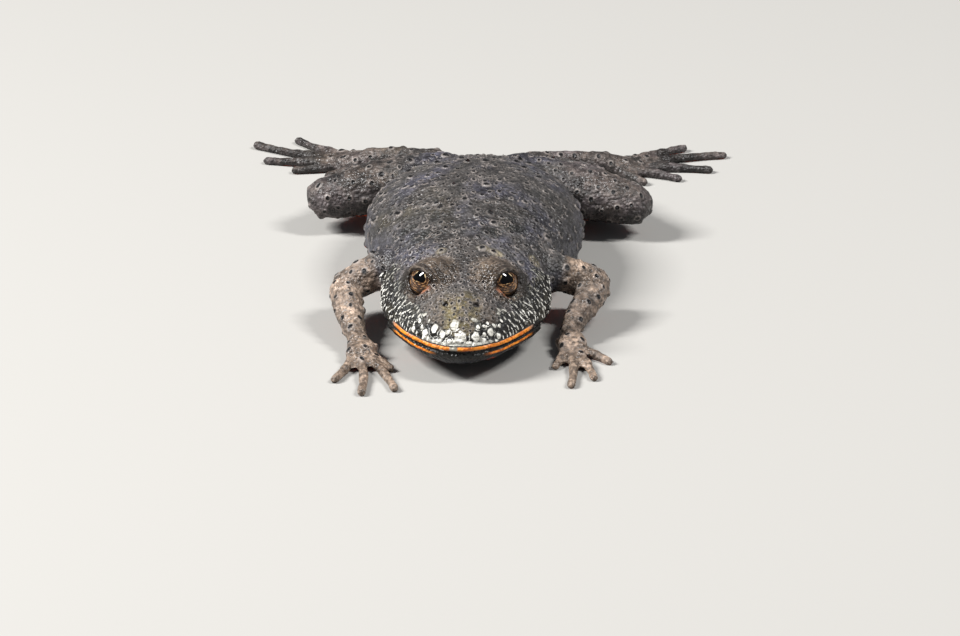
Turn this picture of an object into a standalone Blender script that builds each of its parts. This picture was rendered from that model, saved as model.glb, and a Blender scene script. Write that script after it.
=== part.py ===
"""Fire bellied toad, life size: a still model at rest, with its belly, hands and feet on the floor.

The toad looks along -Y and its left side is at +X. The floor is z = 0. Tables are in millimetres.
The flesh is modelled whole from a lofted body and swept limbs, and thin cuts part it at the joints.
"""

import math
import random

import bmesh
import bpy
import numpy as np
from mathutils import Matrix, Vector
from mathutils.bvhtree import BVHTree

MM = 0.001

# Body, in millimetres.
SNOUT_Y = -22.0
RING_POINTS = 48
RING_COUNT = 84
GAP = 0.3
VOXEL = 0.2
SMOOTH_STEPS = 5
FLESH_TRIANGLES = 9000
SMALLEST_PIECE = 12

# Each station of the body: y, half width, top, bottom, level of the widest place, squareness above it.
BODY = [
    (-22.0, 0.60, 3.9, 2.6, 3.15, 2.0),
    (-21.8, 1.50, 4.6, 2.1, 3.15, 2.0),
    (-21.3, 2.50, 5.4, 1.7, 3.15, 2.0),
    (-20.5, 3.50, 6.1, 1.4, 3.15, 2.0),
    (-19.5, 4.40, 6.75, 1.15, 3.2, 1.9),
    (-18.0, 5.40, 7.3, 0.95, 3.25, 1.8),
    (-16.0, 6.45, 7.8, 0.75, 3.4, 1.7),
    (-14.0, 7.25, 8.3, 0.6, 3.5, 1.7),
    (-12.0, 7.70, 8.7, 0.4, 3.6, 1.8),
    (-10.5, 7.70, 9.0, 0.2, 3.8, 2.0),
    (-9.0, 7.60, 9.2, 0.05, 4.0, 2.1),
    (-7.0, 7.90, 9.6, -0.1, 4.1, 2.1),
    (-4.0, 8.75, 10.0, -0.3, 4.1, 2.1),
    (-1.0, 9.50, 10.2, -0.4, 4.1, 2.1),
    (2.0, 9.95, 10.1, -0.4, 4.0, 2.1),
    (5.0, 9.90, 9.7, -0.4, 4.0, 2.1),
    (8.0, 9.25, 9.0, -0.4, 3.9, 2.1),
    (11.0, 8.15, 8.0, -0.3, 3.8, 2.1),
    (14.0, 6.90, 6.9, 0.0, 3.6, 2.1),
    (16.5, 5.80, 5.9, 0.5, 3.4, 2.0),
    (18.5, 4.30, 4.9, 1.2, 3.2, 2.0),
    (19.6, 2.50, 4.1, 1.9, 3.0, 2.0),
    (20.0, 0.60, 3.4, 2.5, 2.95, 2.0),
]
SQUARENESS_BELOW = 2.2

# Eyes: centre for the left side, radius, and the flesh about it. The lids face along LIDS_FACE, and their
# ball stands back from the eye's, so that the eye swells out through them.
EYE_CENTRE = (3.0, -14.65, 6.7)
EYE_RADIUS = 1.75
EYE_GAP = 0.2
EYE_SEGMENTS = (24, 16)
LIDS_FACE = (0.67, -0.70, 0.25)
LIDS_BACK = 0.55
LID_BALL_RADIUS = 2.25
BROW_CENTRE = (1.95, -14.3, 6.6)
BROW_RADII = (1.95, 2.4, 1.95)

# Rim of the lids: its half angle across and up, distance from the eye's centre, radius above and below.
RIM_ANGLES = (64.0, 54.0)
RIM_REACH = 2.02
RIM_RADII = (0.26, 0.34)
RIM_POINTS = 20
OPENING_RADII = (1.1, 1.9)
OPENING_REACH = (0.9, 4.0)

# Snout.
NOSTRIL = (1.4, -19.3)
NOSTRIL_RADIUS = 0.32
NOSTRIL_SINK = 0.05
CANTHUS = [(1.3, -19.6, 5.95, 0.6), (1.9, -18.1, 6.25, 0.75), (2.25, -16.7, 6.45, 0.8)]
TYMPANIC_FOLD = [(4.7, -13.3, 6.4, 0.9), (5.8, -11.8, 5.7, 1.0), (6.5, -10.4, 5.0, 1.0)]

# Mouth: each lip has a level, a radius and a setback. Both bend back from the snout and sink to the corners.
LIP_BEND = 0.13
LIP_CURL = 0.0008
LIP_DROP = 0.3
LIP_HALF_WIDTH = 6.6
LIP_POINTS = 21
UPPER_LIP = (3.5, 0.42, 0.3)
LOWER_LIP = (2.55, 0.38, 0.6)
MOUTH_LINE = [
    (-25.0, 3.05),
    (-20.0, 3.05),
    (-16.5, 2.95),
    (-14.5, 2.75),
    (-13.2, 2.5),
    (-12.6, 1.6),
    (-12.3, -1.0),
]
MOUTH_HALF_WIDTH = 8.3
MOUTH_STEPS = 16

# Limbs: points along each with a radius, x y z r.
LEFT_ARM = [
    (5.0, -7.6, 5.2, 2.1),
    (7.6, -7.3, 4.8, 1.9),
    (9.8, -7.0, 4.0, 1.6),
    (11.4, -6.8, 3.3, 1.5),
    (11.1, -8.5, 2.9, 1.4),
    (10.2, -10.8, 2.2, 1.2),
    (9.5, -12.6, 1.55, 0.95),
    (9.5, -13.6, 1.2, 0.9),
]
RIGHT_ARM = [
    (-5.0, -7.8, 5.2, 2.1),
    (-7.6, -7.8, 4.8, 1.9),
    (-9.6, -8.0, 3.9, 1.65),
    (-10.9, -8.6, 3.2, 1.55),
    (-10.8, -10.4, 2.8, 1.45),
    (-10.3, -12.8, 2.1, 1.2),
    (-9.7, -15.0, 1.5, 0.95),
    (-9.4, -16.0, 1.2, 0.9),
]
LEFT_LEG = [
    (3.5, 15.2, 3.9, 2.7),
    (7.5, 13.9, 3.8, 2.6),
    (11.0, 12.9, 3.6, 2.4),
    (14.2, 12.0, 3.2, 1.9),
    (12.4, 14.4, 2.9, 1.85),
    (9.6, 18.0, 2.5, 1.95),
    (6.6, 21.9, 2.0, 1.5),
    (4.5, 24.8, 1.6, 1.15),
    (7.6, 25.9, 1.4, 1.05),
    (11.2, 26.6, 1.1, 1.0),
]

# Digits: root and tip in plan.
LEFT_PALM = (9.7, -14.6, 0.95)
LEFT_FINGERS = [
    ((9.1, -15.1), (8.4, -18.3)),
    ((9.6, -15.7), (10.0, -22.3)),
    ((10.1, -15.6), (12.0, -20.6)),
    ((10.4, -14.9), (13.2, -17.0)),
]
RIGHT_PALM = (-9.1, -17.0, 0.95)
RIGHT_FINGERS = [
    ((-8.4, -17.1), (-6.3, -19.6)),
    ((-8.5, -17.9), (-5.7, -23.9)),
    ((-9.2, -18.1), (-8.6, -24.9)),
    ((-9.8, -17.6), (-11.2, -22.2)),
]
PALM_RADII = (1.45, 1.6, 0.85)
FOOT_PALM = (11.9, 26.8, 0.85)
FOOT_RADII = (1.7, 1.3, 0.8)
TOES = [
    ((12.2, 26.0), (14.8, 23.9)),
    ((12.9, 26.4), (18.0, 25.0)),
    ((13.1, 26.9), (20.8, 27.2)),
    ((12.8, 27.3), (22.0, 30.8)),
    ((12.4, 27.6), (18.2, 32.2)),
]
WEB_SHARE = 0.62
WEB_TOP = 0.62
WEB_BOTTOM = -0.2
WEB_DIP = 0.5

# Each digit: share of its length, height over the floor and radius, with a swelling at the joint and the tip.
DIGIT_ROWS = [(0.0, 0.65, 0.56), (0.3, 0.5, 0.44), (0.52, 0.42, 0.48), (0.78, 0.34, 0.4), (1.0, 0.3, 0.45)]
DIGIT_BEND = 0.04

# Warts: one in each cell of a net over the back, moved and sized by chance, on these nodes.
WART_SEED = 11
WART_CELL = 2.5
WART_ROWS = (-8.0, 17.5)
WART_HALF_WIDTH = 8.5
WART_RADII = (0.42, 0.68)
WART_SHIFT = 0.8
WART_STEEPEST = 0.35
WART_LEFT_OUT = 0.32
WART_SINK = 0.45
OCCIPUT_WARTS = [
    (1.5, -11.4, 0.55),
    (2.5, -11.6, 0.5),
    (-2.2, -11.7, 0.45),
    (5.0, -11.6, 0.5),
    (-4.8, -11.5, 0.45),
]

# Thin cuts between neighbours: centre, direction across the cut, half length, half height.
CUTS = {
    "neck": ((0.0, -9.9, 5.0), (0.0, 1.0, 0.05), 8.7, 7.5),
    "shoulder_left": ((9.0, -7.2, 4.4), (0.95, 0.1, -0.3), 2.5, 2.6),
    "shoulder_right": ((-8.75, -7.9, 4.4), (-0.95, -0.1, -0.3), 2.3, 2.6),
    "elbow_left": ((11.4, -7.3, 3.2), (0.45, -0.86, -0.3), 2.6, 2.4),
    "elbow_right": ((-11.0, -9.0, 3.1), (-0.5, -0.85, -0.3), 2.6, 2.4),
    "wrist_left": ((9.5, -12.9, 1.5), (-0.1, -1.0, -0.3), 1.75, 1.8),
    "wrist_right": ((-9.65, -15.3, 1.5), (0.2, -1.0, -0.3), 1.75, 1.8),
    "hip": ((8.5, 13.3, 3.6), (0.96, 0.28, 0.0), 3.6, 4.2),
    "knee": ((11.6, 14.4, 3.4), (0.6, 0.8, -0.05), 7.0, 4.2),
    "heel": ((5.4, 25.9, 1.5), (0.25, 0.9, -0.1), 3.6, 2.2),
    "ankle": ((10.3, 26.4, 1.2), (0.98, 0.2, 0.0), 1.6, 1.8),
}

# A place inside each flesh node, for its name.
INSIDE = {
    "head": (0.0, -14.0, 6.0),
    "lower_jaw": (0.0, -16.0, 1.9),
    "torso": (0.0, 2.0, 5.0),
    "upper_arm_left": (10.1, -7.0, 3.9),
    "forearm_left": (10.4, -10.2, 2.3),
    "hand_left": (9.7, -14.8, 0.8),
    "upper_arm_right": (-9.9, -8.1, 3.8),
    "forearm_right": (-10.3, -12.6, 2.1),
    "hand_right": (-9.1, -17.2, 0.8),
    "thigh_left": (11.0, 12.6, 3.5),
    "shank_left": (9.6, 18.2, 2.5),
    "tarsus_left": (7.8, 26.0, 1.3),
    "foot_left": (12.2, 26.8, 0.7),
    "thigh_right": (-11.0, 12.6, 3.5),
    "shank_right": (-9.6, 18.2, 2.5),
    "tarsus_right": (-7.8, 26.0, 1.3),
    "foot_right": (-12.2, 26.8, 0.7),
}

# Plain colours of the solids, linear, with a roughness.
SKIN_TAUPE = (0.16, 0.13, 0.11, 1.0)
SKIN_THROAT = (0.05, 0.05, 0.06, 1.0)
EYE_BRONZE = (0.12, 0.06, 0.02, 1.0)
SKIN_ROUGHNESS = 0.45
EYE_ROUGHNESS = 0.08


def clear_scene():
    """Remove every object and collection that is in the scene."""
    for old in list(bpy.data.objects):
        bpy.data.objects.remove(old, do_unlink=True)
    for old in list(bpy.data.collections):
        bpy.data.collections.remove(old)


def new_collection(name):
    """A collection linked to the scene."""
    made = bpy.data.collections.new(name)
    bpy.context.scene.collection.children.link(made)
    return made


def object_of(name, bm, collection):
    """Turn a bmesh into a linked object, in metres."""
    bmesh.ops.recalc_face_normals(bm, faces=bm.faces)
    mesh = bpy.data.meshes.new(name)
    bm.to_mesh(mesh)
    bm.free()
    made = bpy.data.objects.new(name, mesh)
    collection.objects.link(made)
    return made


def apply_modifiers(target):
    """Bake the modifiers of an object into its mesh."""
    graph = bpy.context.evaluated_depsgraph_get()
    baked = bpy.data.meshes.new_from_object(target.evaluated_get(graph))
    target.modifiers.clear()
    target.data = baked


def mirrored(point):
    """The same place on the other side."""
    return (-point[0], *point[1:])


def smooth_rows(rows, count):
    """Resample rows of numbers along a smooth curve through them."""
    table = np.array(rows, dtype=float)
    padded = np.vstack([2 * table[0] - table[1], table, 2 * table[-1] - table[-2]])
    made = []
    for place in np.linspace(0, len(table) - 1, count):
        start = min(int(place), len(table) - 2)
        t = place - start
        a, b, c, d = padded[start : start + 4]
        bend = 2 * a - 5 * b + 4 * c - d
        twist = 3 * b - a - 3 * c + d
        made.append(0.5 * (2 * b + (c - a) * t + bend * t**2 + twist * t**3))
    return np.array(made)


def section_point(row, turn):
    """A point of one body ring: wide, with its own height above and below the widest level."""
    y, half, top, bottom, level, square = row
    square = square if math.sin(turn) > 0 else SQUARENESS_BELOW
    across = math.copysign(abs(math.cos(turn)) ** (2 / square), math.cos(turn))
    up = math.copysign(abs(math.sin(turn)) ** (2 / square), math.sin(turn))
    reach = top - level if up > 0 else level - bottom
    return Vector((half * across, y, level + reach * up)) * MM


def body(collection):
    """The head and trunk in one, lofted through rings across Y."""
    bm = bmesh.new()
    rings = []
    for row in smooth_rows(BODY, RING_COUNT):
        ring = bmesh.ops.create_circle(bm, cap_ends=False, radius=1.0, segments=RING_POINTS)["verts"]
        for place, vert in enumerate(ring):
            vert.co = section_point(row, 2 * math.pi * place / RING_POINTS)
        rings.append(ring)
    edges = [[e for e in {e for v in ring for e in v.link_edges}] for ring in rings]
    for first, second in zip(edges, edges[1:]):
        bmesh.ops.bridge_loops(bm, edges=first + second)
    bmesh.ops.contextual_create(bm, geom=edges[0])
    bmesh.ops.contextual_create(bm, geom=edges[-1])
    return object_of("body", bm, collection)


def ball(name, centre, radii, collection, subdivisions=3):
    """An ellipsoid."""
    bm = bmesh.new()
    bmesh.ops.create_icosphere(bm, subdivisions=subdivisions, radius=1.0)
    bmesh.ops.scale(bm, vec=Vector(radii) * MM, verts=bm.verts)
    bmesh.ops.translate(bm, vec=Vector(centre) * MM, verts=bm.verts)
    return object_of(name, bm, collection)


def tube(name, rows, collection, steps=8):
    """A limb swept along its points, round at both ends."""
    line = smooth_rows(rows, (len(rows) - 1) * steps + 1)
    curve = bpy.data.curves.new(name, "CURVE")
    curve.dimensions = "3D"
    curve.bevel_depth = MM
    curve.bevel_resolution = 6
    curve.use_fill_caps = True
    spline = curve.splines.new("POLY")
    spline.points.add(len(line) - 1)
    for point, row in zip(spline.points, line):
        point.co = (row[0] * MM, row[1] * MM, row[2] * MM, 1.0)
        point.radius = row[3]
    holder = bpy.data.objects.new(name, curve)
    collection.objects.link(holder)
    graph = bpy.context.evaluated_depsgraph_get()
    mesh = bpy.data.meshes.new_from_object(holder.evaluated_get(graph))
    bpy.data.objects.remove(holder, do_unlink=True)
    bm = bmesh.new()
    bm.from_mesh(mesh)
    for end in (line[0], line[-1]):
        place = Matrix.Translation(Vector(end[:3]) * MM)
        bmesh.ops.create_icosphere(bm, subdivisions=2, radius=end[3] * MM, matrix=place)
    return object_of(name, bm, collection)


def digit(name, root, tip, collection):
    """A finger or toe lying on the floor, bent a little, with a swollen joint and tip."""
    run = (tip[0] - root[0], tip[1] - root[1])
    rows = []
    for share, height, radius in DIGIT_ROWS:
        bend = DIGIT_BEND * math.sin(math.pi * share)
        x = root[0] + run[0] * share - run[1] * bend
        y = root[1] + run[1] * share + run[0] * bend
        rows.append((x, y, height, radius))
    return tube(name, rows, collection)


def web(name, toes, collection):
    """The skin between neighbouring toes, as a thin level sheet."""
    bm = bmesh.new()
    for (root_a, tip_a), (root_b, tip_b) in zip(toes, toes[1:]):
        reach = WEB_SHARE * min(math.dist(root_a, tip_a), math.dist(root_b, tip_b))
        ends = []
        for root, tip in ((root_a, tip_a), (root_b, tip_b)):
            share = reach / math.dist(root, tip)
            ends.append((root[0] + (tip[0] - root[0]) * share, root[1] + (tip[1] - root[1]) * share))
        dip = [(ends[0][i] + ends[1][i] + root_a[i] * WEB_DIP) / (2 + WEB_DIP) for i in (0, 1)]
        corners = [root_a, ends[0], dip, ends[1], root_b]
        verts = [bm.verts.new(Vector((x, y, WEB_BOTTOM)) * MM) for x, y in corners]
        face = bm.faces.new(verts)
        made = bmesh.ops.extrude_face_region(bm, geom=[face])["geom"]
        lifted = [v for v in made if isinstance(v, bmesh.types.BMVert)]
        bmesh.ops.translate(bm, vec=(0, 0, (WEB_TOP - WEB_BOTTOM) * MM), verts=lifted)
    return object_of(name, bm, collection)


def lid_rim(name, centre, face, collection):
    """The raised rim of the lids, an oval ring close round the eye, fuller below."""
    face = Vector(face).normalized()
    across = face.cross(Vector((0, 0, 1))).normalized()
    up = across.cross(face)
    rows = []
    for place in range(RIM_POINTS + 1):
        turn = 2 * math.pi * place / RIM_POINTS
        angle = math.radians(RIM_ANGLES[1] + (RIM_ANGLES[0] - RIM_ANGLES[1]) * math.cos(turn) ** 2)
        side = across * math.cos(turn) + up * math.sin(turn)
        point = Vector(centre) + (face * math.cos(angle) + side * math.sin(angle)) * RIM_REACH
        share = (1 - math.sin(turn)) / 2
        rows.append((*point, RIM_RADII[0] + (RIM_RADII[1] - RIM_RADII[0]) * share))
    return tube(name, rows, collection, steps=2)


def lip(name, level, radius, setback, collection):
    """A lip that follows the edge of the mouth."""
    rows = []
    for x in np.linspace(-LIP_HALF_WIDTH, LIP_HALF_WIDTH, LIP_POINTS):
        back = setback + LIP_BEND * x**2 + LIP_CURL * x**4
        rows.append((x, SNOUT_Y + back, level - LIP_DROP * (x / LIP_HALF_WIDTH) ** 2, radius))
    return tube(name, rows, collection, steps=3)


def lids_centre():
    """The middle of the ball that the lids of the left eye are."""
    return tuple(Vector(EYE_CENTRE) - Vector(LIDS_FACE).normalized() * LIDS_BACK)


def flesh_pieces(collection):
    """Every raw form that is fused into the flesh."""
    made = [body(collection)]
    made.append(tube("arm_left", LEFT_ARM, collection))
    made.append(tube("arm_right", RIGHT_ARM, collection))
    made.append(ball("palm_left", LEFT_PALM, PALM_RADII, collection))
    made.append(ball("palm_right", RIGHT_PALM, PALM_RADII, collection))
    for place, (root, tip) in enumerate(LEFT_FINGERS):
        made.append(digit(f"finger_left_{place}", root, tip, collection))
    for place, (root, tip) in enumerate(RIGHT_FINGERS):
        made.append(digit(f"finger_right_{place}", root, tip, collection))
    for side in ("left", "right"):
        flip = mirrored if side == "right" else tuple
        made.append(ball(f"brow_{side}", flip(BROW_CENTRE), BROW_RADII, collection))
        made.append(ball(f"lids_{side}", flip(lids_centre()), (LID_BALL_RADIUS,) * 3, collection))
        made.append(lid_rim(f"rim_{side}", flip(EYE_CENTRE), flip(LIDS_FACE), collection))
        made.append(tube(f"canthus_{side}", [flip(row) for row in CANTHUS], collection))
        made.append(tube(f"fold_{side}", [flip(row) for row in TYMPANIC_FOLD], collection))
        made.append(tube(f"leg_{side}", [flip(row) for row in LEFT_LEG], collection))
        made.append(ball(f"sole_{side}", flip(FOOT_PALM), FOOT_RADII, collection))
        toes = [(flip(root), flip(tip)) for root, tip in TOES]
        for place, (root, tip) in enumerate(toes):
            made.append(digit(f"toe_{side}_{place}", root, tip, collection))
        made.append(web(f"web_{side}", toes, collection))
    made.append(lip("lip_upper", *UPPER_LIP, collection))
    made.append(lip("lip_lower", *LOWER_LIP, collection))
    return made


def fuse(pieces, collection):
    """One closed surface round all pieces, made even and smooth, then thinned."""
    bm = bmesh.new()
    for piece in pieces:
        bm.from_mesh(piece.data)
    whole = object_of("flesh", bm, collection)
    for piece in pieces:
        bpy.data.objects.remove(piece, do_unlink=True)
    remesh = whole.modifiers.new("remesh", "REMESH")
    remesh.mode = "VOXEL"
    remesh.voxel_size = VOXEL * MM
    apply_modifiers(whole)
    smooth = whole.modifiers.new("smooth", "SMOOTH")
    smooth.factor = 0.5
    smooth.iterations = SMOOTH_STEPS
    apply_modifiers(whole)
    triangles = sum(len(face.vertices) - 2 for face in whole.data.polygons)
    thin = whole.modifiers.new("thin", "DECIMATE")
    thin.ratio = FLESH_TRIANGLES / triangles
    thin.use_collapse_triangulate = True
    apply_modifiers(whole)
    return whole


def slab(name, centre, direction, half_length, half_height, collection):
    """A thin upright plate that parts two neighbours."""
    across = Vector(direction).normalized()
    along = across.cross(Vector((0, 0, 1))).normalized()
    up = along.cross(across).normalized()
    turn = Matrix((along, across, up)).transposed().to_4x4()
    bm = bmesh.new()
    bmesh.ops.create_cube(bm, size=2.0)
    bmesh.ops.scale(bm, vec=Vector((half_length, GAP / 2, half_height)) * MM, verts=bm.verts)
    bmesh.ops.transform(bm, matrix=Matrix.Translation(Vector(centre) * MM) @ turn, verts=bm.verts)
    return object_of(name, bm, collection)


def mouth_cutter(collection):
    """The slit of the mouth: level between the lips and turned down behind the jaw."""
    line = smooth_rows(MOUTH_LINE, MOUTH_STEPS)
    upper = []
    lower = []
    for place, (y, z) in enumerate(line):
        before = line[max(place - 1, 0)]
        after = line[min(place + 1, len(line) - 1)]
        run = Vector((after[0] - before[0], after[1] - before[1])).normalized()
        side = Vector((-run.y, run.x)) * (GAP / 2)
        upper.append((y + side.x, z + side.y))
        lower.append((y - side.x, z - side.y))
    bm = bmesh.new()
    outline = upper + lower[::-1]
    verts = [bm.verts.new((-MOUTH_HALF_WIDTH * MM, y * MM, z * MM)) for y, z in outline]
    face = bm.faces.new(verts)
    made = bmesh.ops.extrude_face_region(bm, geom=[face])["geom"]
    moved = [v for v in made if isinstance(v, bmesh.types.BMVert)]
    bmesh.ops.translate(bm, vec=(2 * MOUTH_HALF_WIDTH * MM, 0, 0), verts=moved)
    return object_of("mouth_cutter", bm, collection)


def opening_cutter(centre, face, collection):
    """The opening of the lids, a cone that widens from inside the eye outwards."""
    face = Vector(face).normalized()
    near, far = OPENING_REACH
    place = Matrix.Translation((Vector(centre) + face * (near + far) / 2) * MM)
    turn = place @ face.to_track_quat("Z", "Y").to_matrix().to_4x4()
    inner, outer = OPENING_RADII
    bm = bmesh.new()
    bmesh.ops.create_cone(
        bm,
        cap_ends=True,
        segments=EYE_SEGMENTS[0],
        radius1=inner * MM,
        radius2=outer * MM,
        depth=(far - near) * MM,
        matrix=turn,
    )
    return object_of("opening_cutter", bm, collection)


def floor_cutter(collection):
    """Everything under the floor."""
    bm = bmesh.new()
    bmesh.ops.create_cube(bm, size=1.0)
    bmesh.ops.scale(bm, vec=Vector((90, 90, 10)) * MM, verts=bm.verts)
    bmesh.ops.translate(bm, vec=Vector((0, 0, -5)) * MM, verts=bm.verts)
    return object_of("floor_cutter", bm, collection)


def nostril_cutter(flesh, place, collection):
    """A small ball sunk in the skin of the snout, found by a line down to it."""
    start = Vector((place[0], place[1], 20.0)) * MM
    found, hit, normal, _ = flesh.ray_cast(start, Vector((0, 0, -1)))
    if not found:
        raise RuntimeError("no skin under a nostril")
    centre = hit / MM - normal * NOSTRIL_SINK
    return ball("nostril_cutter", centre, (NOSTRIL_RADIUS,) * 3, collection, 2)


def all_cutters(flesh, collection):
    """Every cutter, on both sides where a cut is on both sides."""
    made = [floor_cutter(collection), mouth_cutter(collection)]
    for name, (centre, direction, length, height) in CUTS.items():
        made.append(slab(f"cut_{name}", centre, direction, length, height, collection))
        if name in ("hip", "knee", "heel", "ankle"):
            other = (mirrored(centre), mirrored(direction))
            made.append(slab(f"cut_{name}_right", *other, length, height, collection))
    for flip in (tuple, mirrored):
        made.append(ball("eye_cutter", flip(EYE_CENTRE), (EYE_RADIUS + EYE_GAP,) * 3, collection, 2))
        made.append(opening_cutter(flip(EYE_CENTRE), flip(LIDS_FACE), collection))
        made.append(nostril_cutter(flesh, flip(NOSTRIL), collection))
    for cutter in made:
        cutter.hide_render = True
        cutter.display_type = "WIRE"
    return made


def cut(target, cutters):
    """Take every cutter out of the target, one after another."""
    for cutter in cutters:
        step = target.modifiers.new("cut", "BOOLEAN")
        step.operation = "DIFFERENCE"
        step.solver = "MANIFOLD"
        step.object = cutter
        apply_modifiers(target)


def loose_groups(bm):
    """The vertices of each separate surface."""
    left = set(bm.verts)
    groups = []
    while left:
        seed = left.pop()
        group = [seed]
        queue = [seed]
        while queue:
            for edge in queue.pop().link_edges:
                for vert in edge.verts:
                    if vert in left:
                        left.remove(vert)
                        group.append(vert)
                        queue.append(vert)
        groups.append(group)
    return groups


def node_name(tree):
    """The node whose place lies inside: a line straight up from it crosses the surface an odd number of times."""
    for name, place in INSIDE.items():
        start = Vector(place) * MM
        crossings = 0
        hit = tree.ray_cast(start, Vector((0, 0, 1)))[0]
        while hit is not None:
            crossings += 1
            hit = tree.ray_cast(hit + Vector((0, 0, 0.001 * MM)), Vector((0, 0, 1)))[0]
        if crossings % 2:
            return name
    return None


def surface_of(bm, group):
    """A bmesh of its own for one separate surface."""
    part = bmesh.new()
    lookup = {vert: part.verts.new(vert.co) for vert in group}
    for face in bm.faces:
        if face.verts[0] in lookup:
            part.faces.new([lookup[vert] for vert in face.verts])
    return part


def part_flesh(whole, collection):
    """Part the cut flesh into its named nodes."""
    bm = bmesh.new()
    bm.from_mesh(whole.data)
    bmesh.ops.remove_doubles(bm, verts=bm.verts, dist=0.0005 * MM)
    bmesh.ops.dissolve_degenerate(bm, edges=bm.edges, dist=0.001 * MM)
    nodes = {}
    for group in loose_groups(bm):
        if len(group) < SMALLEST_PIECE:
            continue
        part = surface_of(bm, group)
        name = node_name(BVHTree.FromBMesh(part))
        if name is None or name in nodes:
            raise RuntimeError(f"a piece of the flesh has no name of its own: {name}")
        nodes[name] = object_of(name, part, collection)
    bm.free()
    missing = sorted(set(INSIDE) - set(nodes))
    if missing:
        raise RuntimeError(f"the cuts left no {', '.join(missing)}")
    return nodes


def wart_places():
    """Where the warts stand in plan, x y radius, by node."""
    chance = random.Random(WART_SEED)
    rows = int((WART_ROWS[1] - WART_ROWS[0]) / WART_CELL)
    columns = int(2 * WART_HALF_WIDTH / WART_CELL)
    back = []
    for row in range(rows + 1):
        for column in range(columns + 1):
            x = column * WART_CELL - WART_HALF_WIDTH + chance.uniform(-WART_SHIFT, WART_SHIFT)
            y = row * WART_CELL + WART_ROWS[0] + chance.uniform(-WART_SHIFT, WART_SHIFT)
            radius = chance.uniform(*WART_RADII)
            if chance.random() > WART_LEFT_OUT:
                back.append((x, y, radius))
    return {"torso": back, "head": OCCIPUT_WARTS}


def add_warts(node, places, collection):
    """Fuse low domes with the skin of a node, each sunk in well below its middle."""
    warts = bpy.data.collections.new("warts")
    collection.children.link(warts)
    for x, y, radius in places:
        found, hit, normal, _ = node.ray_cast(Vector((x, y, 30.0)) * MM, Vector((0, 0, -1)))
        if found and normal.z > WART_STEEPEST:
            bm = bmesh.new()
            turn = normal.to_track_quat("Z", "Y").to_matrix().to_4x4()
            place = Matrix.Translation(hit - normal * radius * WART_SINK * MM)
            bmesh.ops.create_icosphere(bm, subdivisions=1, radius=radius * MM, matrix=place @ turn)
            object_of("wart", bm, warts)
    union = node.modifiers.new("warts", "BOOLEAN")
    union.operation = "UNION"
    union.solver = "EXACT"
    union.operand_type = "COLLECTION"
    union.collection = warts
    apply_modifiers(node)
    for wart in list(warts.objects):
        bpy.data.objects.remove(wart, do_unlink=True)
    bpy.data.collections.remove(warts)
    keep_largest(node)


def keep_largest(node):
    """Keep only the largest closed surface of a node."""
    bm = bmesh.new()
    bm.from_mesh(node.data)
    groups = sorted(loose_groups(bm), key=len)
    for group in groups[:-1]:
        bmesh.ops.delete(bm, geom=group, context="VERTS")
    bmesh.ops.dissolve_degenerate(bm, edges=bm.edges, dist=0.001 * MM)
    bm.to_mesh(node.data)
    bm.free()


def material(name, colour, roughness):
    """A plain material of one colour."""
    made = bpy.data.materials.new(name)
    made.use_nodes = True
    shader = made.node_tree.nodes["Principled BSDF"]
    shader.inputs["Base Color"].default_value = colour
    shader.inputs["Roughness"].default_value = roughness
    return made


def eye(name, centre, collection):
    """One eyeball."""
    bm = bmesh.new()
    around, down = EYE_SEGMENTS
    bmesh.ops.create_uvsphere(bm, u_segments=around, v_segments=down, radius=EYE_RADIUS * MM)
    bmesh.ops.translate(bm, vec=Vector(centre) * MM, verts=bm.verts)
    return object_of(name, bm, collection)


def main():
    """Build the toad."""
    clear_scene()
    toad = new_collection("fire_bellied_toad")
    cutters = new_collection("cutters")
    whole = fuse(flesh_pieces(cutters), cutters)
    cutting = all_cutters(whole, cutters)
    cut(whole, cutting)
    nodes = part_flesh(whole, toad)
    bpy.data.objects.remove(whole, do_unlink=True)
    for name, places in wart_places().items():
        add_warts(nodes[name], places, cutters)
    nodes["eye_left"] = eye("eye_left", EYE_CENTRE, toad)
    nodes["eye_right"] = eye("eye_right", mirrored(EYE_CENTRE), toad)
    for name, node in nodes.items():
        colour = EYE_BRONZE if name.startswith("eye") else SKIN_TAUPE
        if name == "lower_jaw":
            colour = SKIN_THROAT
        shine = EYE_ROUGHNESS if name.startswith("eye") else SKIN_ROUGHNESS
        node.data.materials.append(material(f"{name}_skin", colour, shine))
        node.data.shade_smooth()


main()
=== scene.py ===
"""A fire bellied toad at rest, dressed over its solids: one damp, warty skin and two wet eyes."""

import math
import random

import bmesh
import bpy
import numpy as np
from mathutils import Matrix, Vector
from mathutils.bvhtree import BVHTree
from mathutils.kdtree import KDTree
from mathutils.noise import fractal


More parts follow.
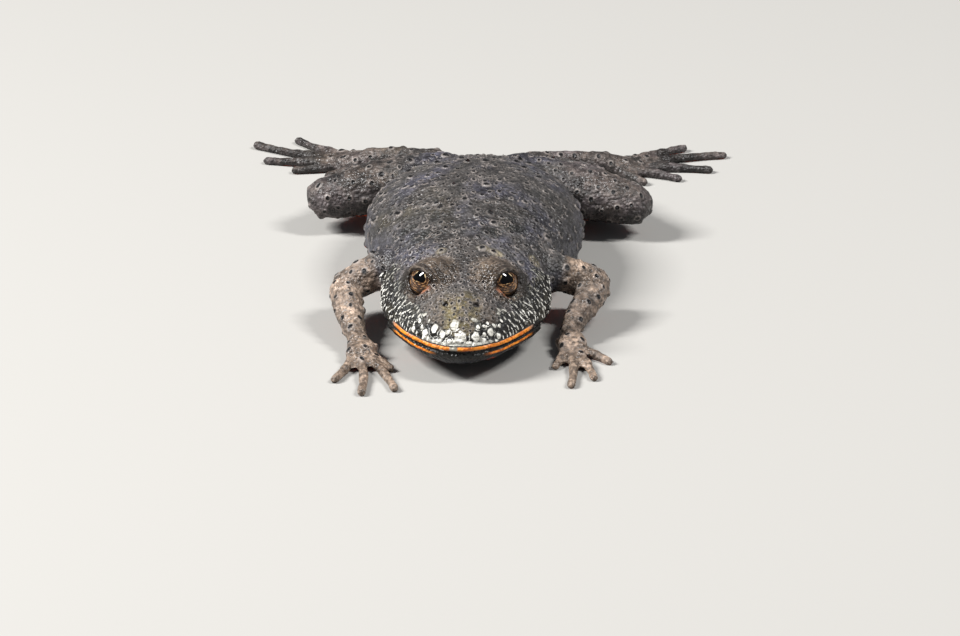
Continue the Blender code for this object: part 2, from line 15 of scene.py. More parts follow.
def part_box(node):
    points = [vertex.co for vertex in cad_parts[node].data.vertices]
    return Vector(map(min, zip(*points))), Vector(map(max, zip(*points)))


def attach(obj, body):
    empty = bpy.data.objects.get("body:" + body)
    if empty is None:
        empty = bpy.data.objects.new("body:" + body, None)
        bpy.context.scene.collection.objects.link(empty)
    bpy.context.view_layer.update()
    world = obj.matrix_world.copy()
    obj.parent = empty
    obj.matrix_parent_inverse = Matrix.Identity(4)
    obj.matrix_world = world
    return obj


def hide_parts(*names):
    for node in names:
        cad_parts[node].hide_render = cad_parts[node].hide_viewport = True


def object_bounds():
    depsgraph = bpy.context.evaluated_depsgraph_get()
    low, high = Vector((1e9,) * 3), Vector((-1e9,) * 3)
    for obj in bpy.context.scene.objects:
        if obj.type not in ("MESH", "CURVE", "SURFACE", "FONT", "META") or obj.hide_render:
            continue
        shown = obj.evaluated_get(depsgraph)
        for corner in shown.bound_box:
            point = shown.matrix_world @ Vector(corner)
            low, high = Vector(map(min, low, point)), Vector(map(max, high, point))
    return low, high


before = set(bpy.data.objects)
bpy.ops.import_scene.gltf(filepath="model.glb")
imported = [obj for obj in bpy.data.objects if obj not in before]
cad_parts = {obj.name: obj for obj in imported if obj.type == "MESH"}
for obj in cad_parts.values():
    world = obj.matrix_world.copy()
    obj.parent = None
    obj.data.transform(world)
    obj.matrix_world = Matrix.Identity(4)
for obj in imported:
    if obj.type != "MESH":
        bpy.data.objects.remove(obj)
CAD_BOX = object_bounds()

bl_info = {
    "name": "Fire bellied toad",
    "version": (1, 0, 0),
    "blender": (4, 5, 0),
    "location": "3D View > Sidebar > Toad",
    "description": "Dresses the solids of a fire bellied toad with skin and eyes",
    "category": "Object",
}

# A millimetre in metres, and the value that says that nothing is near. Lengths below are in millimetres,
# unless their comment says metres.
MM = 0.001
FAR = 9.0

# The solids under the skin, and the eyes.
FLESH = sorted(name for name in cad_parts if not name.startswith("eye"))
EYES = sorted(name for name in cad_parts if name.startswith("eye"))

# The way the left eye looks, and the way the opening of its lids faces.
GAZE = Vector((0.50, -0.66, 0.56)).normalized()
LIDS_FACE = Vector((0.67, -0.70, 0.25)).normalized()

# The slit of the mouth seen from the side, y and z, the y of its corners, and the left nostril, x and y.
MOUTH_LINE = [(-25.0, 3.05), (-20.0, 3.05), (-16.5, 2.95), (-14.5, 2.75), (-13.2, 2.5), (-9.0, 2.2)]
MOUTH_CORNER_Y = -12.9
NOSTRIL = (1.4, -19.3)

# The slit, the upper lip, the groove over it and the lower lip: height, half width, how far out.
LIP_FOLDS = [(0.0, 0.1, -0.2), (0.36, 0.2, 0.08), (0.68, 0.08, -0.05), (-0.4, 0.14, 0.05)]

# Nostrils: depth and half width of the pit; height, distance and half width of the rim round it.
NOSTRIL_PIT = (0.32, 0.2)
NOSTRIL_RIM = (0.08, 0.44, 0.14)

# Lids: the distances from the eye's middle where their pull begins and is full, the share of its angle that
# the lower lid moves by and what the upper one adds, and the angles where the pull begins and is full.
LID_REACH = (2.9, 2.3)
LID_PULL = 0.15
UPPER_LID_PULL = 0.07
LID_ANGLES = (math.radians(112), math.radians(62))

# Arms and legs: words in the names of their solids, and how far from these the skin is all theirs and is
# theirs no longer.
ARMS = (("arm", "hand"), 0.15, 1.2)
LEGS = (("thigh", "shank", "tarsus", "foot"), 0.15, 1.6)

# Where arms can be, beside the body or under it; where the legs begin; the head's end and half width.
ARMS_BESIDE = 6.2
ARMS_UNDER = 1.6
LEGS_BEGIN_Y = 6.0
HEAD_END_Y = -9.9
HEAD_SIDE = 8.2

# The upper edge of the black and white cheek seen from the side, y and z.
CHEEK_LINE = [
    (-22.0, 4.9),
    (-20.5, 5.15),
    (-19.0, 5.4),
    (-17.5, 5.6),
    (-16.0, 5.8),
    (-13.5, 6.1),
    (-12.0, 6.4),
    (-9.5, 6.2),
    (-7.5, 5.6),
]

# Dark blotches of the back: across, along, half width, half length.
DARK_BLOTCHES = [
    (2.1, -8.65, 1.2, 0.9),
    (3.8, -6.8, 1.4, 0.9),
    (-3.9, -8.5, 1.5, 0.9),
    (-5.4, -6.6, 0.8, 0.6),
]

# The palest patches of the nape, measured the same way.
PALE_WARTS = [
    (1.6, -11.4, 0.6, 0.42),
    (2.7, -11.6, 0.7, 0.42),
    (6.1, -10.1, 0.5, 0.6),
    (-2.2, -11.7, 0.45, 0.4),
]

# White blotches of the snout: across, height over the mouth, half width, half height. They fade at the
# edge, so about three quarters of each size looks white.
SNOUT_BLOTCHES = [
    (0.04, 1.44, 0.69, 0.76),
    (-0.42, 2.40, 0.49, 0.60),
    (-1.00, 1.80, 0.21, 0.25),
    (-1.55, 1.50, 0.37, 0.46),
    (-2.30, 1.78, 0.41, 0.53),
    (-1.90, 0.92, 0.40, 0.28),
    (-3.20, 1.20, 0.40, 0.49),
    (-3.70, 1.95, 0.21, 0.30),
    (-2.80, 2.25, 0.17, 0.23),
    (1.40, 1.42, 0.46, 0.62),
    (2.15, 1.05, 0.32, 0.34),
    (1.60, 2.15, 0.23, 0.28),
    (2.70, 1.55, 0.37, 0.46),
    (2.45, 2.25, 0.17, 0.23),
    (3.40, 1.05, 0.32, 0.40),
    (-4.30, 1.05, 0.25, 0.40),
    (-0.90, 1.05, 0.32, 0.28),
    (0.85, 0.92, 0.28, 0.18),
]

# Large warts of the nape, as on the solids: across, along, radius.
NAPE_WARTS = [
    (1.5, -11.4, 0.55),
    (2.5, -11.6, 0.5),
    (-2.2, -11.7, 0.45),
    (5.0, -11.6, 0.5),
    (-4.8, -11.5, 0.45),
]

# Large warts of the back, as on the solids: the seed, the first place and step of their net, how many
# across and along, how far each is moved, the smallest and largest radius, and the share left out.
WART_SEED = 11
WART_START = (-8.5, -8.0)
WART_STEP = 2.5
WARTS_ACROSS = 7
WARTS_ALONG = 11
WART_SHIFT = 0.8
WART_RADII = (0.42, 0.68)
WARTS_LEFT_OUT = 0.32

# How far apart the pores stand on each part.
PORES_HEAD = 0.6
PORES_BACK = 0.95
PORES_LIMB = 1.25
PORES_FLANK = 1.4

# Small warts: half width in spacings, on the head and elsewhere; height and half length in half widths.
PORE_SIZE_HEAD = (0.36, 0.5)
PORE_SIZE = (0.27, 0.43)
PORE_HEIGHT = (0.28, 0.45)
PORE_LENGTH = (0.85, 1.15)

# How far apart the white grains stand on the cheeks and on the snout, and half the snout's width. Distances
# along the grains count for this share less, so they stand further apart end to end.
GRAINS_CHEEK = 0.37
GRAINS_SNOUT = 0.42
SNOUT_SIDE = 3.8
END_TO_END = 0.42

# Grains: half width, and length in widths; how much wider they are on the snout, and their length there;
# how far each may turn from its run, in radians, and the share with a pore.
GRAIN_WIDTH = (0.075, 0.12)
GRAIN_LENGTH = (2.0, 3.5)
SNOUT_GRAIN_WIDER = 2.05
SNOUT_GRAIN_LENGTH = (1.0, 1.7)
GRAIN_TILT = 0.4
GRAINS_WITH_PORE = 0.12

# The seed of the pores and grains, and how many of the nearest ones are tried at each place of the skin.
SPOT_SEED = 5
SPOTS_TRIED = 6

# The middle of the mouth, and from it to the middle of the picture, right and up.
MOUTH = (0.0, -22.0, 3.35)
AIM = (1.83, 2.87)

# The lights: name, place, width and height in metres, and power in watts.
LIGHTS = [
    ("key", (-0.345, -0.06, 0.363), 0.07, 0.2, 6.6),
    ("fill", (0.288, -0.05, 0.41), 0.05, 0.16, 3.2),
]

# The place that the lights are turned to, in metres.
LIT = Vector((0.0, -0.012, 0.006))

# A cell of a grid and the 26 cells round it.
NEIGHBOURS = [(a, b, c) for a in (-1, 0, 1) for b in (-1, 0, 1) for c in (-1, 0, 1)]


def colour(code):
    """A colour given as an sRGB hex value, in linear light."""
    channels = [int(code[place : place + 2], 16) / 255 for place in (1, 3, 5)]
    return [c / 12.92 if c <= 0.04045 else ((c + 0.055) / 1.055) ** 2.4 for c in channels] + [1.0]


# Settings of the nodes that the materials use most.
MIX = {"kind": "ShaderNodeMix", "out": 2, "data_type": "RGBA"}
STEP = {"kind": "ShaderNodeMapRange", "interpolation_type": "SMOOTHSTEP"}
TIMES = {"kind": "ShaderNodeMath", "operation": "MULTIPLY"}
PLUS = {"kind": "ShaderNodeMath", "operation": "ADD"}
TIMES_PLUS = {"kind": "ShaderNodeMath", "operation": "MULTIPLY_ADD"}
LARGER = {"kind": "ShaderNodeMath", "operation": "MAXIMUM"}
SIZE = {"kind": "ShaderNodeMath", "operation": "ABSOLUTE"}
WAVE = {"kind": "ShaderNodeMath", "operation": "SINE"}
LENGTH = {"kind": "ShaderNodeVectorMath", "operation": "LENGTH", "out": 1}


def add(tree, inputs, kind, out=0, **settings):
    """Add a node with its settings, and what its sockets hold or take, and return its output."""
    made = tree.nodes.new(kind)
    for name, value in settings.items():
        setattr(made, name, value)
    for place, value in inputs.items():
        if isinstance(value, bpy.types.NodeSocket):
            tree.links.new(value, made.inputs[place])
        else:
            made.inputs[place].default_value = value
    return made.outputs[out]


class ToadSkinSettings(bpy.types.PropertyGroup):
    """Sizes and colours of the skin."""

    swell: bpy.props.FloatProperty(
        name="Bridge",
        description="How far each solid swells, so that the skin closes over the cuts between them",
        default=0.0002,
        unit="LENGTH",
    )
    grain: bpy.props.FloatProperty(
        name="Grain",
        description="Size of the faces that the skin is made of",
        default=0.00013,
        unit="LENGTH",
    )
    most_faces: bpy.props.IntProperty(
        name="Most faces",
        description="Triangles left in the finished skin",
        default=197000,
    )
    back: bpy.props.StringProperty(
        name="Back",
        description="Grey-brown of the back",
        default="#33302e",
    )


class ToadEyeSettings(bpy.types.PropertyGroup):
    """Sizes of the eyes."""

    bulge: bpy.props.FloatProperty(
        name="Bulge",
        description="How far the wet eye stands out past its solid, to fill the room inside the lids",
        default=0.00013,
        unit="LENGTH",
    )


class ToadStageSettings(bpy.types.PropertyGroup):
    """Where the camera stands, and its lens."""

    azimuth: bpy.props.FloatProperty(
        name="Azimuth",
        description="The camera's turn towards the toad's left",
        default=math.radians(3.0),
        subtype="ANGLE",
    )
    elevation: bpy.props.FloatProperty(
        name="Elevation",
        description="The camera's height over the floor",
        default=math.radians(24.0),
        subtype="ANGLE",
    )
    distance: bpy.props.FloatProperty(
        name="Distance",
        description="From the middle of the picture to the camera",
        default=0.9,
        unit="LENGTH",
    )
    lens: bpy.props.FloatProperty(
        name="Lens",
        description="Focal length, in millimetres",
        default=378.0,
    )


def object_of(name, bm):
    """A linked object from a bmesh."""
    mesh = bpy.data.meshes.new(name)
    bm.to_mesh(mesh)
    bm.free()
    made = bpy.data.objects.new(name, mesh)
    bpy.context.scene.collection.objects.link(made)
    return made


def bake_modifiers(piece):
    """Bake the modifiers of a piece into its mesh."""
    graph = bpy.context.evaluated_depsgraph_get()
    baked = bpy.data.meshes.new_from_object(piece.evaluated_get(graph))
    piece.modifiers.clear()
    piece.data = baked


def smoothstep(low, high, value):
    """0 before low, 1 past high and smooth between; low may be over high."""
    share = np.clip((value - low) / (high - low), 0.0, 1.0)
    return share * share * (3 - 2 * share)


def points_and_normals(mesh):
    """The places of the vertices, and their normals, as arrays."""
    count = len(mesh.vertices)
    points = np.empty(count * 3)
    mesh.vertices.foreach_get("co", points)
    normals = np.empty(count * 3)
    mesh.vertex_normals.foreach_get("vector", normals)
    return points.reshape(-1, 3) / MM, normals.reshape(-1, 3)


def move_points(mesh, points):
    """Put the vertices at these places."""
    mesh.vertices.foreach_set("co", (points * MM).ravel())
    mesh.update()


def inside_box(points):
    """The points, none of them past the box of the solids or under the floor."""
    low, high = CAD_BOX
    return np.clip(points, np.array(low) / MM, np.array(high) / MM)


def search_tree(bm):
    """A search tree of a bmesh, which is used up."""
    bmesh.ops.scale(bm, vec=(1 / MM,) * 3, verts=bm.verts)
    tree = BVHTree.FromBMesh(bm)
    bm.free()
    return tree


def gap_to(points, places):
    """The distance from each point to the nearest of these places, or FAR."""
    gaps = np.full(len(points), FAR)
    for place in places:
        gaps = np.minimum(gaps, np.linalg.norm(points - np.array(place), axis=1))
    return gaps


def mouth_level(y):
    """The height of the mouth's slit at each y."""
    line = np.array(MOUTH_LINE)
    return np.interp(y, line[:, 0], line[:, 1])


def eye_centre(name):
    """The middle of an eye's solid."""
    low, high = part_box(name)
    return (Vector(low) + Vector(high)) / 2 / MM


def eye_look(name):
    """The way an eye looks."""
    side = 1.0 if eye_centre(name).x > 0 else -1.0
    return Vector((GAZE.x * side, GAZE.y, GAZE.z))


def lid_frame(name):
    """The middle of an eye and the axes of its lids: towards the nose, up and out of the opening."""
    centre = np.array(eye_centre(name))
    side = 1.0 if centre[0] > 0 else -1.0
    face = Vector((LIDS_FACE.x * side, LIDS_FACE.y, LIDS_FACE.z))
    outward = Vector((0, 0, 1)).cross(face).normalized() * side
    return centre, np.array([-outward, face.cross(outward) * side, face])


def close_lids(points):
    """Draw the edges of the lids a little further over each eye, turned round its middle."""
    for name in EYES:
        centre, axes = lid_frame(name)
        local = (points - centre) @ axes.T
        reach = np.linalg.norm(local, axis=1)
        near = reach < LID_REACH[0]
        local, reach = local[near], reach[near]
        beside = np.hypot(local[:, 0], local[:, 1])
        angle = np.arctan2(beside, local[:, 2])
        upper = 0.5 + 0.5 * local[:, 1] / np.maximum(beside, 1e-6)
        pull = (LID_PULL + UPPER_LID_PULL * upper) * smoothstep(*LID_ANGLES, angle)
        pull *= smoothstep(*LID_REACH, reach)
        turned = angle * (1 - pull)
        flat = local[:, :2] / np.maximum(beside, 1e-6)[:, None] * (reach * np.sin(turned))[:, None]
        moved = np.column_stack((flat, reach * np.cos(turned)))
        points[near] = centre + moved @ axes
    return points


def closed_flesh(swell, grain):
    """One closed surface round all flesh solids, with the thin cuts between them bridged."""
    bm = bmesh.new()
    for name in FLESH:
        bm.from_mesh(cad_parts[name].data)
    bmesh.ops.remove_doubles(bm, verts=bm.verts, dist=1e-6)
    bm.normal_update()
    for vert in bm.verts:
        vert.co += vert.normal * swell
    skin = object_of("skin", bm)
    remesh = skin.modifiers.new("remesh", "REMESH")
    remesh.mode = "VOXEL"
    remesh.voxel_size = grain
    smooth = skin.modifiers.new("smooth", "SMOOTH")
    smooth.factor = 0.5
    smooth.iterations = 5
    bake_modifiers(skin)
    points, normals = points_and_normals(skin.data)
    move_points(skin.data, close_lids(points - normals * swell / MM))
    return skin


def frames_on(normals):
    """For each normal, the direction up along the skin and the one across it."""
    up = np.array([0.0, 0.0, 1.0]) - normals * normals[:, 2:3]
    length = np.linalg.norm(up, axis=1, keepdims=True)
    flat = length[:, 0] < 0.15
    up = np.where(flat[:, None], np.array([0.0, 1.0, 0.0]), up / np.maximum(length, 1e-6))
    across = np.cross(up, normals)
    return up, across


def spread(points, wanted, spacing, chance, run=None, taken=()):
    """Vertices kept at least their own spacing apart, in random order.

    Run holds the direction in which the grain on each vertex is long, and taken the places that have to
    stay free, each with its reach. Only the cells next to a vertex are searched, whatever the reach.
    """
    cell = max(float(spacing[wanted].max()), 0.1) if len(wanted) else 1.0
    grid = {}
    chosen = []

    def cell_of(place):
        """The cell of the grid that a place is in."""
        return (int(place[0] // cell), int(place[1] // cell), int(place[2] // cell))

    for place, reach in taken:
        grid.setdefault(cell_of(place), []).append((np.array(place), reach))
    order = list(wanted)
    chance.shuffle(order)
    for vert in order:
        p = points[vert]
        a, b, c = cell_of(p)
        near = False
        for shift in NEIGHBOURS:
            for other, reach in grid.get((a + shift[0], b + shift[1], c + shift[2]), ()):
                gap = p - other
                if run is not None:
                    along = run[vert]
                    gap = gap - along * (gap @ along) * END_TO_END
                if gap @ gap < max(spacing[vert], reach) ** 2:
                    near = True
                    break
            if near:
                break
        if not near:
            grid.setdefault((a, b, c), []).append((p, 0.0))
            chosen.append(vert)
    return chosen


def near_solids(points, words, full, none):
    """1 within one distance of the solids whose names hold one of these words, 0 past the other."""
    bm = bmesh.new()
    for name in FLESH:
        if any(word in name for word in words):
            bm.from_mesh(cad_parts[name].data)
    tree = search_tree(bm)
    gaps = [tree.find_nearest(point)[3] for point in points]
    return smoothstep(none, full, np.array(gaps))


class Regions:
    """The part of the body that each place is on: arm, leg and limb as shares, head as yes or no."""

    def __init__(self, points):
        x, y, z = points.T
        front = (y < 0) & ((np.abs(x) > ARMS_BESIDE) | (z < ARMS_UNDER))
        rear = y > LEGS_BEGIN_Y
        self.arm = np.zeros(len(points))
        self.arm[front] = near_solids(points[front], *ARMS)
        self.leg = np.zeros(len(points))
        self.leg[rear] = near_solids(points[rear], *LEGS)
        self.limb = np.maximum(self.arm, self.leg)
        self.head = (y < HEAD_END_Y) & (self.arm < 0.5) & (np.abs(x) < HEAD_SIDE)


def dorsal_share(points, normals, regions):
    """1 on the upper side, 0 on the underside."""
    share = smoothstep(-0.7, -0.45, normals[:, 2])
    under_limb = smoothstep(-0.92, -0.75, normals[:, 2])
    share = share + (under_limb - share) * regions.limb
    throat = smoothstep(-0.95, -0.7, points[:, 2] - mouth_level(points[:, 1]))
    return np.where(regions.head, np.minimum(throat, smoothstep(-0.75, -0.4, normals[:, 2])), share)


def cheek_share(points, regions):
    """1 on the black and white sides of the head, 0 elsewhere."""
    x, y, z = points.T
    line = np.array(CHEEK_LINE)
    line = np.interp(y, line[:, 0], line[:, 1])
    ripple = 0.25 * np.sin(y * 2.1 + x) + 0.2 * np.sin(y * 4.7 - x * 1.3)
    below = smoothstep(0.45, -0.35, z - line - ripple)
    behind = smoothstep(-9.4, -10.7, y + 0.4 * np.sin(z * 2.2))
    return below * behind * (1 - regions.arm) * smoothstep(8.8, 8.4, np.abs(x))


def oval_share(points, ovals):
    """1 inside the ovals seen from above, fading to 0 outside."""
    gap = np.full(len(points), FAR)
    for x, y, half_width, half_length in ovals:
        oval = np.hypot((points[:, 0] - x) / half_width, (points[:, 1] - y) / half_length)
        gap = np.minimum(gap, oval)
    return smoothstep(1.35, 0.6, gap)


def lip_height(points, regions):
    """Height over the slit of the mouth, on the front and sides of the mouth, and FAR elsewhere."""
    height = points[:, 2] - mouth_level(points[:, 1])
    on_head = regions.head & (points[:, 1] < MOUTH_CORNER_Y + 1.0)
    return np.where(on_head, np.clip(height, -FAR, FAR), FAR)


def wart_places():
    """The large warts, which stand where those of the solids do: across, along, radius."""
    chance = random.Random(WART_SEED)
    made = list(NAPE_WARTS)
    for row in range(WARTS_ALONG):
        for column in range(WARTS_ACROSS):
            x = WART_START[0] + column * WART_STEP + chance.uniform(-WART_SHIFT, WART_SHIFT)
            y = WART_START[1] + row * WART_STEP + chance.uniform(-WART_SHIFT, WART_SHIFT)
            radius = chance.uniform(*WART_RADII)
            if chance.random() > WARTS_LEFT_OUT:
                made.append((x, y, radius))
    return made


class Spots:
    """Spots on the skin: each has a centre, a size across the skin and up along it, and a height."""

    def __init__(self):
        self.centres = []
        self.axes = []
        self.radii = []
        self.heights = []

    def put(self, centre, across, up, half_width, half_height, height):
        """Add one spot."""
        self.centres.append(np.array(centre))
        self.axes.append((np.array(across) / half_width, np.array(up) / half_height))
        self.radii.append(max(half_width, half_height))
        self.heights.append(height)

    def offsets(self, points, reach):
        """For each point its offset from a spot in spot sizes, or FAR on each axis, and the spot's number.

        The third value grows outside a spot, so that no place between two spots is taken for a middle.
        """
        tree = KDTree(len(self.centres))
        for number, centre in enumerate(self.centres):
            tree.insert(centre, number)
        tree.balance()
        found = np.full((len(points), 3), FAR)
        numbers = np.full(len(points), -1)
        for place, point in enumerate(points):
            best = reach
            for centre, number, distance in tree.find_n(point, SPOTS_TRIED):
                if distance > reach * self.radii[number]:
                    continue
                across, up = self.axes[number]
                gap = point - centre
                a = float(gap @ across)
                b = float(gap @ up)
                size = math.hypot(a, b)
                if size < best:
                    best = size
                    found[place] = (a, b, 2.0 * max(0.0, size - 1.15))
                    numbers[place] = number
        return found, numbers


class RawSkin:
    """The places of the skin before it is shaped, and what each is on or near."""

    def __init__(self, mesh):
        self.points, self.normals = points_and_normals(mesh)
        self.up, self.across = frames_on(self.normals)
        self.regions = Regions(self.points)
        self.dorsal = dorsal_share(self.points, self.normals, self.regions)
        self.cheek = cheek_share(self.points, self.regions)
        self.lips = lip_height(self.points, self.regions)
        self.eyes = gap_to(self.points, [eye_centre(name) for name in EYES])
        bm = bmesh.new()
        bm.from_mesh(mesh)
        self.tree = search_tree(bm)
        self.nostrils = [self.from_above(side * NOSTRIL[0], NOSTRIL[1])[0] for side in (-1, 1)]
        self.nose = gap_to(self.points, self.nostrils)

    def clear_of(self, mouth, eye, nostril):
        """Where the skin is further than this from the slit of the mouth, an eye's middle and a nostril."""
        return (self.lips > mouth) & (self.eyes > eye) & (self.nose > nostril)

    def from_above(self, x, y):
        """Where a line straight down meets the skin, and the normal there."""
        return self.tree.ray_cast(Vector((x, y, 30.0)), Vector((0, 0, -1)))[:2]

    def from_front(self, x, z):
        """Where a line straight back meets the skin, and the normal there."""
        return self.tree.ray_cast(Vector((x, -40.0, z)), Vector((0, 1, 0)))[:2]


def put_blotches(raw, flecks):
    """Place the white blotches of the snout, and return the room that each takes."""
    rooms = []
    slit = MOUTH_LINE[0][1]
    for x, height, half_width, half_height in SNOUT_BLOTCHES:
        place, normal = raw.from_front(x, slit + height)
        side = Vector((0, 0, 1)).cross(normal).normalized()
        flecks.put(place, side, normal.cross(side).normalized(), half_width, half_height, 0.04)
        rooms.append((tuple(place), max(half_width, half_height) + 0.06))
    return rooms


def put_large_warts(raw, warts):
    """Place the warts that the solids have too, and return the room that each takes."""
    rooms = []
    for x, y, radius in wart_places():
        place, normal = raw.from_above(x, y)
        if place is not None and normal.z > 0.35:
            side = normal.cross(Vector((0, 0, 1)))
            side = side.normalized() if side.length > 0.05 else Vector((1, 0, 0))
            warts.put(place, side, normal.cross(side), radius, radius, 0.05)
            rooms.append((tuple(place), radius + 0.4))
    return rooms


def put_pores(raw, warts, rooms, chance):
    """Place the pores, on small warts: close on the head, wider apart and larger on flanks and limbs."""
    regions = raw.regions
    flank = ~regions.head & (regions.limb < 0.5) & (raw.normals[:, 2] < 0.6)
    on_body = np.where(regions.limb > 0.5, PORES_LIMB, PORES_BACK)
    spacing = np.where(regions.head, PORES_HEAD, np.where(flank, PORES_FLANK, on_body))
    fits = (raw.dorsal > 0.6) & (raw.cheek < 0.3) & (raw.points[:, 2] > 0.9)
    fits &= raw.clear_of(mouth=1.6, eye=2.4, nostril=0.5)
    for vert in spread(raw.points, np.flatnonzero(fits), spacing, chance, taken=rooms):
        size = spacing[vert] * chance.uniform(*(PORE_SIZE_HEAD if regions.head[vert] else PORE_SIZE))
        height = size * chance.uniform(*PORE_HEIGHT) * (1.3 if flank[vert] else 1.0)

        # Pores on upward skin are longer, because the photo's view shortens them there.
        long = size * chance.uniform(*PORE_LENGTH)
        long *= 1.0 + 0.45 * max(0.0, raw.normals[vert, 2]) ** 2
        warts.put(raw.points[vert], raw.across[vert], raw.up[vert], size, long, height)


def put_grains(raw, flecks, warts, rooms, chance):
    """Place the white grains: long ones that run round the cheeks, rounder and larger on the snout."""
    ring = np.cross(np.array([0.0, 1.0, 0.0]), raw.normals)
    length = np.linalg.norm(ring, axis=1, keepdims=True)
    run = np.where(length > 0.45, ring / np.maximum(length, 1e-6), raw.up)
    beside = np.cross(run, raw.normals)
    on_snout = np.abs(raw.points[:, 0]) < SNOUT_SIDE
    fits = (raw.cheek > 0.3) & raw.clear_of(mouth=0.7, eye=2.25, nostril=0.6)
    spacing = np.where(on_snout, GRAINS_SNOUT, GRAINS_CHEEK)
    for vert in spread(raw.points, np.flatnonzero(fits), spacing, chance, run=run, taken=rooms):
        wide = chance.uniform(*GRAIN_WIDTH)
        long = wide * chance.uniform(*GRAIN_LENGTH)
        if on_snout[vert]:
            wide *= SNOUT_GRAIN_WIDER
            long = wide * chance.uniform(*SNOUT_GRAIN_LENGTH)
        tilt = chance.uniform(-GRAIN_TILT, GRAIN_TILT)
        along = run[vert] * math.cos(tilt) + beside[vert] * math.sin(tilt)
        flecks.put(raw.points[vert], np.cross(along, raw.normals[vert]), along, wide, long, 0.07)

        if chance.random() < GRAINS_WITH_PORE:
            warts.put(raw.points[vert], beside[vert], run[vert], 0.22, 0.22, 0.0)


def relief_of(raw, warts, flecks):
    """How far each place of the skin moves out: loose skin, spots, lips and nostrils."""
    lift = np.array([fractal(Vector(point) / 1.1, 0.8, 2.0, 4) for point in raw.points])
    over_floor = smoothstep(0.15, 0.7, raw.points[:, 2])
    swelling = 0.09 * lift * np.where(raw.regions.head, 0.7, 1.0) * over_floor
    for spots in (warts, flecks):
        offset, number = spots.offsets(raw.points, 1.0)
        size = np.hypot(offset[:, 0], offset[:, 1])
        heights = np.array(spots.heights + [0.0])
        swelling += heights[number] * np.clip(1 - size**2, 0, 1) ** 1.5

    on_lips = smoothstep(MOUTH_CORNER_Y, MOUTH_CORNER_Y - 1.4, raw.points[:, 1])
    for height, half_width, out in LIP_FOLDS:
        swelling += out * np.exp(-(((raw.lips - height) / half_width) ** 2)) * on_lips

    depth, half_width = NOSTRIL_PIT
    swelling -= depth * np.exp(-((raw.nose / half_width) ** 2))
    height, distance, half_width = NOSTRIL_RIM
    swelling += height * np.exp(-(((raw.nose - distance) / half_width) ** 2))
    return swelling * smoothstep(1.75, 2.2, raw.eyes)


def thin_skin(skin, head, most_faces):
    """Bring the skin down to this many triangles, and keep most of them on the head."""
    triangles = sum(len(face.vertices) - 2 for face in skin.data.polygons)
    if triangles > most_faces:
        group = skin.vertex_groups.new(name="thinned")
        group.add(np.flatnonzero(~head).tolist(), 1.0, "REPLACE")
        group.add(np.flatnonzero(head).tolist(), 0.2, "REPLACE")
        thin = skin.modifiers.new("thin", "DECIMATE")
        thin.ratio = most_faces / triangles
        thin.vertex_group = group.name
        bake_modifiers(skin)
        move_points(skin.data, inside_box(points_and_normals(skin.data)[0]))


def shape_skin(skin, most_faces):
    """Lay out the spots, shape and thin the skin, and return the warts, the flecks and the nostrils."""
    chance = random.Random(SPOT_SEED)
    raw = RawSkin(skin.data)
    warts = Spots()
    flecks = Spots()
    blotches = put_blotches(raw, flecks)
    put_pores(raw, warts, blotches + put_large_warts(raw, warts), chance)
    put_grains(raw, flecks, warts, blotches, chance)
    swelling = relief_of(raw, warts, flecks)
    move_points(skin.data, inside_box(raw.points + raw.normals * swelling[:, None]))
    thin_skin(skin, raw.regions.head, most_faces)
    return warts, flecks, raw.nostrils


def put_attribute(mesh, name, values):
    """Keep a number or three for each vertex under a name."""
    kind = "FLOAT" if values.ndim == 1 else "FLOAT_VECTOR"
    field = "value" if values.ndim == 1 else "vector"
    mesh.attributes.new(name, kind, "POINT").data.foreach_set(field, values.astype(np.float32).ravel())


def mark_skin(skin, warts, flecks, nostrils):
    """Write where each marking lies, for the skin's material."""
    points, normals = points_and_normals(skin.data)
    regions = Regions(points)
    lids = np.full((len(points), 3), FAR)
    for name in EYES:
        centre, axes = lid_frame(name)
        local = (points - centre) @ axes.T
        near = np.linalg.norm(local, axis=1) < 3.6
        lids[near] = local[near]
    marks = {
        "wart": warts.offsets(points, 1.9)[0],
        "fleck": flecks.offsets(points, 2.2)[0],
        "dorsal": dorsal_share(points, normals, regions),
        "cheek": cheek_share(points, regions),
        "lips": lip_height(points, regions),
        "arm": regions.arm,
        "leg": regions.leg,
        "upward": normals[:, 2],
        "blotch": oval_share(points, DARK_BLOTCHES),
        "pale": oval_share(points, PALE_WARTS),
        "nostril": gap_to(points, nostrils),
        "lids": lids,
    }
    for name, values in marks.items():
        put_attribute(skin.data, name, values)


def new_material(name):
    """A material with its node tree and its shader."""
    made = bpy.data.materials.new(name)
    made.use_nodes = True
    return made, made.node_tree, made.node_tree.nodes["Principled BSDF"]


def patches(tree, where, size, low, high, detail=3.0, seed=0.0):
    """Soft patches of about this size: 0 under one noise level and 1 past the other."""
    place = {"Vector": where, "W": seed, "Scale": 1 / (size * MM), "Detail": detail}
    noise = add(tree, place, "ShaderNodeTexNoise", noise_dimensions="4D")
    return add(tree, {0: noise, 1: low, 2: high}, **STEP)


